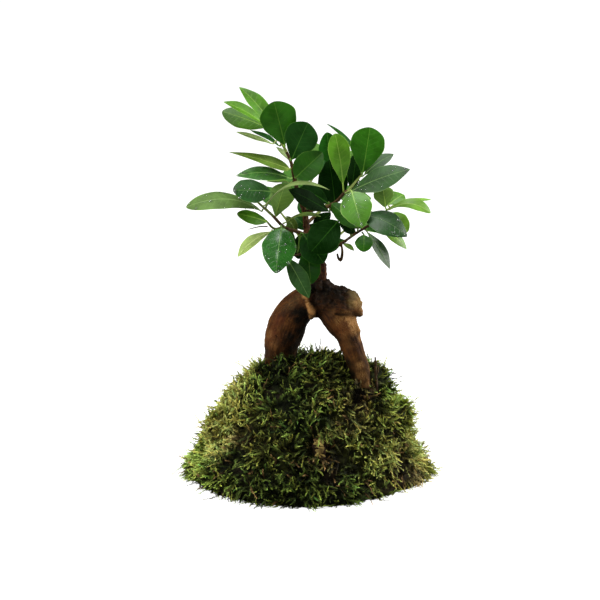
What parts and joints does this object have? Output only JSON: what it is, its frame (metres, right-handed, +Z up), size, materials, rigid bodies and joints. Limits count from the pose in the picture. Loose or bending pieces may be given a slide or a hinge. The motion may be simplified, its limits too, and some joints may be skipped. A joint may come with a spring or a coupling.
{
  "type": "kokedama moss ball plant",
  "caption": "Moss-covered soil mound carrying a small grafted fig: two swollen root legs joined in one head, a short stem and a spreading crown of oval glossy leaves; stands on its flat base.",
  "frame": {"origin": "centre of the mound's flat underside, on the resting plane", "axes": "+Z up from the resting plane through the crown; +X to the right and -Y towards the viewer as the plant is pictured"},
  "size_m": [0.1778, 0.1611, 0.2762],
  "materials": {
    "soil": null,
    "moss": null,
    "root_bark": "smooth reddish-brown root bark with fine pores, dull satin, dark patches on the head",
    "stem_bark": "rough fibrous reddish-brown stem bark, matt",
    "dry_bark": "dry flaky brown bark, matt",
    "dry_stalk": "dead thin stalk, matt",
    "leaf": null
  },
  "bodies": {
    "root": {"soil_ball": "soil", "moss_cover": "moss", "root_caudex": "root_bark", "stem": "stem_bark", "bark_chip": "dry_bark", "dry_stalk": "dry_stalk", "leaf_01": "leaf", "leaf_02": "leaf", "leaf_03": "leaf", "leaf_04": "leaf", "leaf_05": "leaf", "leaf_06": "leaf", "leaf_07": "leaf", "leaf_08": "leaf", "leaf_09": "leaf", "leaf_10": "leaf", "leaf_11": "leaf", "leaf_12": "leaf", "leaf_13": "leaf", "leaf_14": "leaf", "leaf_15": "leaf", "leaf_16": "leaf", "leaf_17": "leaf", "leaf_18": "leaf", "leaf_19": "leaf", "leaf_20": "leaf", "leaf_21": "leaf", "leaf_22": "leaf", "leaf_23": "leaf", "leaf_24": "leaf", "leaf_25": "leaf", "leaf_26": "leaf", "leaf_27": "leaf", "leaf_28": "leaf", "leaf_29": "leaf", "leaf_30": "leaf", "leaf_31": "leaf", "leaf_32": "leaf", "leaf_33": "leaf", "leaf_34": "leaf", "leaf_35": "leaf", "leaf_36": "leaf", "leaf_37": "leaf", "leaf_38": "leaf", "leaf_39": "leaf", "leaf_40": "leaf", "leaf_41": "leaf", "leaf_42": "leaf", "leaf_43": "leaf", "leaf_44": "leaf", "leaf_45": "leaf", "leaf_46": "leaf", "leaf_47": "leaf", "leaf_48": "leaf", "leaf_49": "leaf", "leaf_50": "leaf", "leaf_51": "leaf", "leaf_52": "leaf", "leaf_53": "leaf", "leaf_54": "leaf"}
  },
  "joints": []
}
